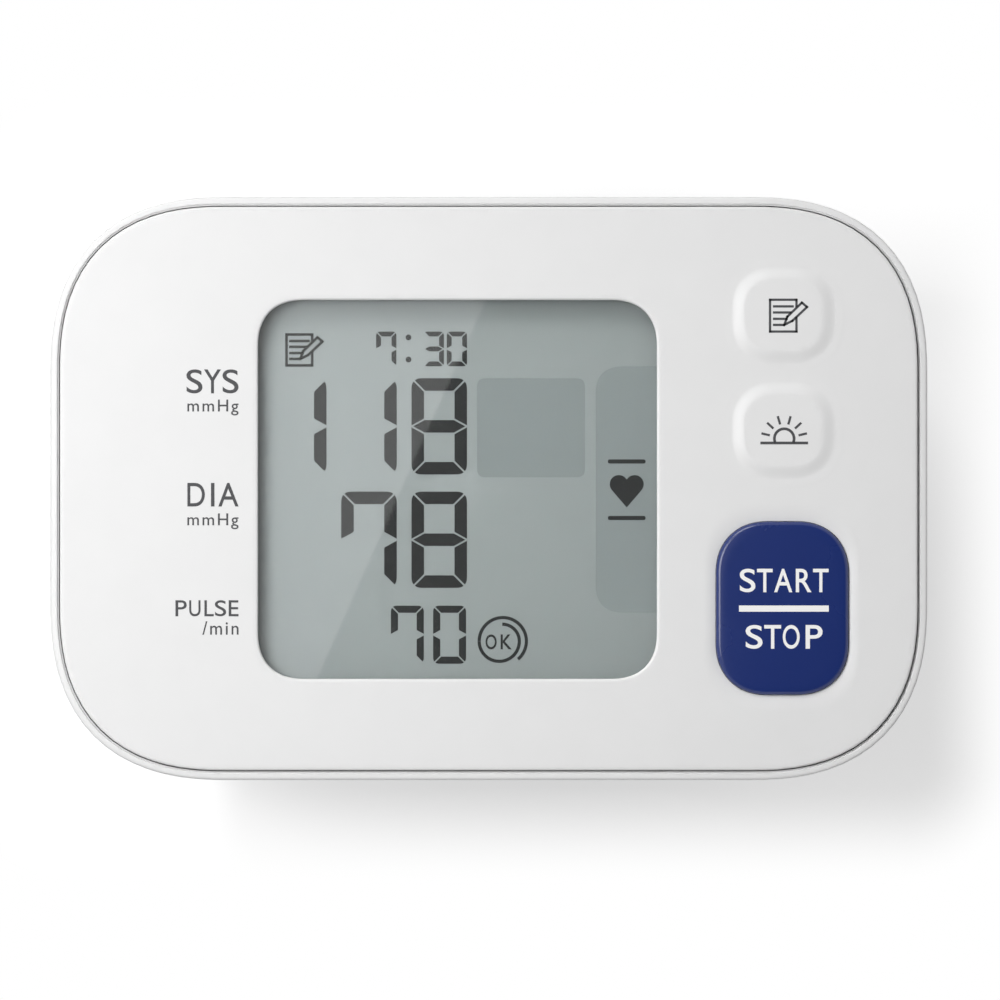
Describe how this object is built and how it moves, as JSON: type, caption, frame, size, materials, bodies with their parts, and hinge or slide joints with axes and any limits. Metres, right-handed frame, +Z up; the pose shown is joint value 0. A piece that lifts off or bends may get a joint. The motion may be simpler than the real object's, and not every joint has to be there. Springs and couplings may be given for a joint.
{
  "type": "wrist blood pressure monitor",
  "caption": "Slim wrist blood pressure monitor: flat rounded unit with a square display and press keys, carried on a padded wrist cuff closed by a hook-and-loop tail.",
  "frame": {"origin": "middle of the footprint, on the surface the cuff stands on", "axes": "+Z up, out of the display; +X to the right of the display; +Y to the top of the display, along the wrist"},
  "size_m": [0.091, 0.0604, 0.0697],
  "materials": {
    "shell": "white moulded plastic, satin gloss",
    "soft_key": "white elastomer skin, satin",
    "blue_key": "navy blue moulded plastic, glossy",
    "lens": "clear acrylic, polished",
    "display": "grey green liquid crystal panel",
    "black_plastic": "black moulded plastic",
    "grey_plastic": "grey moulded plastic",
    "rubber": "dark elastomer",
    "silicone": "translucent silicone",
    "board": "green solder mask",
    "chip": "black epoxy",
    "steel": "zinc plated steel",
    "nickel": "nickel plated spring steel",
    "cell": "plain printed cell jacket",
    "red_wire": "red wire jacket",
    "black_wire": "black wire jacket",
    "cloth": "dark grey brushed loop fabric",
    "lining": "grey woven nylon",
    "film": "pale flexible plastic sheet",
    "hook": "hook tape"
  },
  "bodies": {
    "housing": {"rear_case": "shell", "front_cover": "shell", "display_lens": "lens", "lens_gasket": "black_plastic", "lcd_panel": "display", "lcd_frame": "grey_plastic", "zebra_strip": "rubber", "start_dome": "silicone", "memory_dome": "silicone", "average_dome": "silicone", "main_board": "board", "processor_chip": "chip", "memory_chip": "chip", "pressure_sensor": "chip", "battery_left": "cell", "battery_right": "cell", "battery_spring_left": "nickel", "battery_spring_right": "nickel", "battery_contact_plus": "nickel", "battery_contact_minus": "nickel", "battery_contact_bridge": "nickel", "pump_head": "grey_plastic", "pump_diaphragm": "rubber", "pump_frame": "black_plastic", "pump_motor": "steel", "release_valve": "black_plastic", "air_manifold": "grey_plastic", "pump_tube": "silicone", "valve_tube": "silicone", "motor_lead_red": "red_wire", "motor_lead_black": "black_wire", "valve_lead_red": "red_wire", "valve_lead_black": "black_wire", "case_screw_1": "steel", "case_screw_2": "steel", "case_screw_3": "steel", "case_screw_4": "steel", "board_screw_1": "steel", "board_screw_2": "steel", "cuff_base_plate": "grey_plastic", "air_port": "grey_plastic", "cuff_cover": "cloth", "cuff_curler": "film", "cuff_bladder": "film", "cuff_lining": "lining", "cuff_binding_top": "cloth", "cuff_binding_bottom": "cloth"},
    "start_key": {"start_button": "blue_key"},
    "memory_key": {"memory_button": "soft_key"},
    "average_key": {"average_button": "soft_key"},
    "battery_door": {"battery_cover": "shell"},
    "tail": {"cuff_tail": "cloth", "hook_patch": "hook"},
    "crank": {"pump_crank": "steel"},
    "plunger": {"valve_plunger": "steel"}
  },
  "joints": [
    {"name": "start_press", "type": "slide", "parent": "housing", "child": "start_key", "axis": [0, 0, -1], "range_m": [0, 0.0008], "stiffness_N_per_m": 1500, "deforming": ["start_dome"]},
    {"name": "memory_press", "type": "slide", "parent": "housing", "child": "memory_key", "axis": [0, 0, -1], "range_m": [0, 0.0005], "stiffness_N_per_m": 1500, "deforming": ["memory_dome"]},
    {"name": "average_press", "type": "slide", "parent": "housing", "child": "average_key", "axis": [0, 0, -1], "range_m": [0, 0.0005], "stiffness_N_per_m": 1500, "deforming": ["average_dome"]},
    {"name": "battery_door_slide", "type": "slide", "parent": "housing", "child": "battery_door", "axis": [-1, 0, 0], "range_m": [0, 0.03]},
    {"name": "tail_open", "type": "hinge", "parent": "housing", "child": "tail", "pos_m": [0.03193, 0, 0.00725], "axis": [0, 1, 0], "range_deg": [0, 85]},
    {"name": "pump_spin", "type": "hinge", "parent": "housing", "child": "crank", "pos_m": [0, 0.0223, 0.0594], "axis": [1, 0, 0], "continuous": true},
    {"name": "valve_stroke", "type": "slide", "parent": "housing", "child": "plunger", "axis": [1, 0, 0], "range_m": [0, 0.0006], "stiffness_N_per_m": 200}
  ]
}
